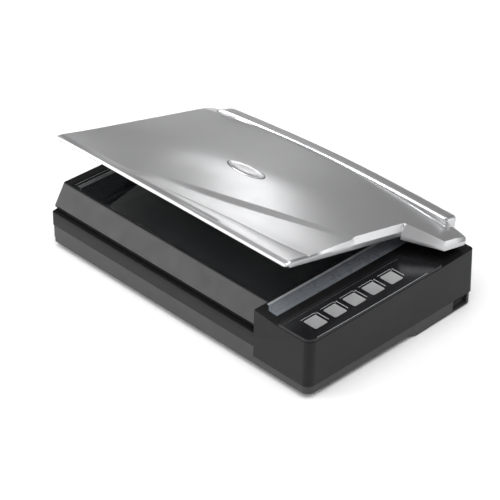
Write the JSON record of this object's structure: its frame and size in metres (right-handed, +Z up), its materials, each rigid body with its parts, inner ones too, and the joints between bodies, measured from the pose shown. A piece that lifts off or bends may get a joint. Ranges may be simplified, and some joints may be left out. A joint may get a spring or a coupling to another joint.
{
  "type": "flatbed scanner",
  "caption": "Large book-edge flatbed scanner with a bowed silver lid on lifting hinges, a sloped front edge, a ruler along the glass, a side panel of press buttons, and a belt-driven scan carriage.",
  "frame": {"origin": "centre of the footprint's bounding box on the surface that the feet stand on", "axes": "+X along the long side towards the button panel, +Y from the book edge towards the hinges, +Z up"},
  "size_m": [0.6244, 0.3994, 0.221],
  "materials": {
    "black_plastic": "fine texture",
    "tub_plastic": "fine texture",
    "gloss_black": "glossy",
    "silver_paint": "silver metallic lacquer on plastic",
    "badge_silver": "silver lacquer, blank",
    "ruler_grey": "satin",
    "glass": "polished float glass",
    "pale_plastic": "smooth",
    "white_mat": "smooth film over foam",
    "steel": "zinc plated",
    "brass": "turned",
    "rubber": "matt",
    "circuit_board": "solder mask",
    "mirror": "front surfaced",
    "lamp": "frosted",
    "lock_red": "smooth"
  },
  "bodies": {
    "base": {"bottom_tub": "tub_plastic", "top_housing": "black_plastic", "glass_plate": "glass", "calibration_strip": "pale_plastic", "ruler_strip": "ruler_grey", "control_panel": "gloss_black", "button_board": "circuit_board", "main_board": "circuit_board", "dc_inlet": "black_plastic", "usb_port": "steel", "port_plate": "black_plastic", "foot_1": "rubber", "foot_2": "rubber", "foot_3": "rubber", "foot_4": "rubber", "guide_rod": "steel", "support_rail": "steel", "motor": "steel", "drive_belt": "rubber", "tub_screw_1": "steel", "tub_screw_2": "steel", "tub_screw_3": "steel", "tub_screw_4": "steel", "home_sensor": "black_plastic"},
    "carriage": {"carriage_housing": "black_plastic", "lamp_bar": "lamp", "mirror_1": "mirror", "mirror_2": "mirror", "mirror_3": "mirror", "lens_barrel": "steel", "sensor_board": "circuit_board", "belt_clamp": "black_plastic"},
    "motor_wheel": {"motor_pulley": "brass"},
    "idler_wheel": {"idler_pulley": "brass"},
    "hinge_posts": {"hinge_post_left": "black_plastic", "hinge_post_right": "black_plastic"},
    "lid": {"lid_cover": "silver_paint", "ear_plate": "black_plastic", "lid_frame": "black_plastic", "document_mat": "white_mat", "hinge_cover": "silver_paint", "badge": "badge_silver", "hinge_bracket_left": "steel", "hinge_bracket_right": "steel", "hinge_pin_left": "steel", "hinge_pin_right": "steel", "lid_bumper_1": "rubber", "lid_bumper_2": "rubber"},
    "rocker": {"power_switch": "gloss_black"},
    "lock": {"transport_lock": "lock_red"},
    "button_1_body": {"button_1": "silver_paint"},
    "button_2_body": {"button_2": "silver_paint"},
    "button_3_body": {"button_3": "silver_paint"},
    "button_4_body": {"button_4": "silver_paint"},
    "button_5_body": {"button_5": "silver_paint"}
  },
  "joints": [
    {"name": "hinge_lift", "type": "slide", "parent": "base", "child": "hinge_posts", "axis": [0, 0, 1], "range_m": [-0.0065, 0.015]},
    {"name": "lid_hinge", "type": "hinge", "parent": "hinge_posts", "child": "lid", "pos_m": [0, 0.19, 0.1325], "axis": [-1, 0, 0], "range_deg": [-12.6, 57]},
    {"name": "carriage_slide", "type": "slide", "parent": "base", "child": "carriage", "axis": [1, 0, 0], "range_m": [0, 0.408]},
    {"name": "motor_pulley_spin", "type": "hinge", "parent": "base", "child": "motor_wheel", "pos_m": [0.226, 0.177, 0.06], "axis": [0, 0, 1], "range_deg": [0, 2930]},
    {"name": "idler_pulley_spin", "type": "hinge", "parent": "base", "child": "idler_wheel", "pos_m": [-0.29, 0.177, 0.06], "axis": [0, 0, 1], "range_deg": [0, 2930]},
    {"name": "switch_rock", "type": "hinge", "parent": "base", "child": "rocker", "pos_m": [0.3005, 0.184, 0.0193], "axis": [0, 0, 1], "range_deg": [0, 14]},
    {"name": "lock_slide", "type": "slide", "parent": "base", "child": "lock", "axis": [1, 0, 0], "range_m": [0, 0.01]},
    {"name": "button_1_press", "type": "slide", "parent": "base", "child": "button_1_body", "axis": [0, 0, -1], "range_m": [0, 0.0012], "stiffness_N_per_m": 600, "springref_m": -0.0006},
    {"name": "button_2_press", "type": "slide", "parent": "base", "child": "button_2_body", "axis": [0, 0, -1], "range_m": [0, 0.0012], "stiffness_N_per_m": 600, "springref_m": -0.0006},
    {"name": "button_3_press", "type": "slide", "parent": "base", "child": "button_3_body", "axis": [0, 0, -1], "range_m": [0, 0.0012], "stiffness_N_per_m": 600, "springref_m": -0.0006},
    {"name": "button_4_press", "type": "slide", "parent": "base", "child": "button_4_body", "axis": [0, 0, -1], "range_m": [0, 0.0012], "stiffness_N_per_m": 600, "springref_m": -0.0006},
    {"name": "button_5_press", "type": "slide", "parent": "base", "child": "button_5_body", "axis": [0, 0, -1], "range_m": [0, 0.0012], "stiffness_N_per_m": 600, "springref_m": -0.0006}
  ],
  "couplings": [
    {"joint": "motor_pulley_spin", "follows": "carriage_slide", "rad_per_m": 125},
    {"joint": "idler_pulley_spin", "follows": "carriage_slide", "rad_per_m": 125}
  ]
}
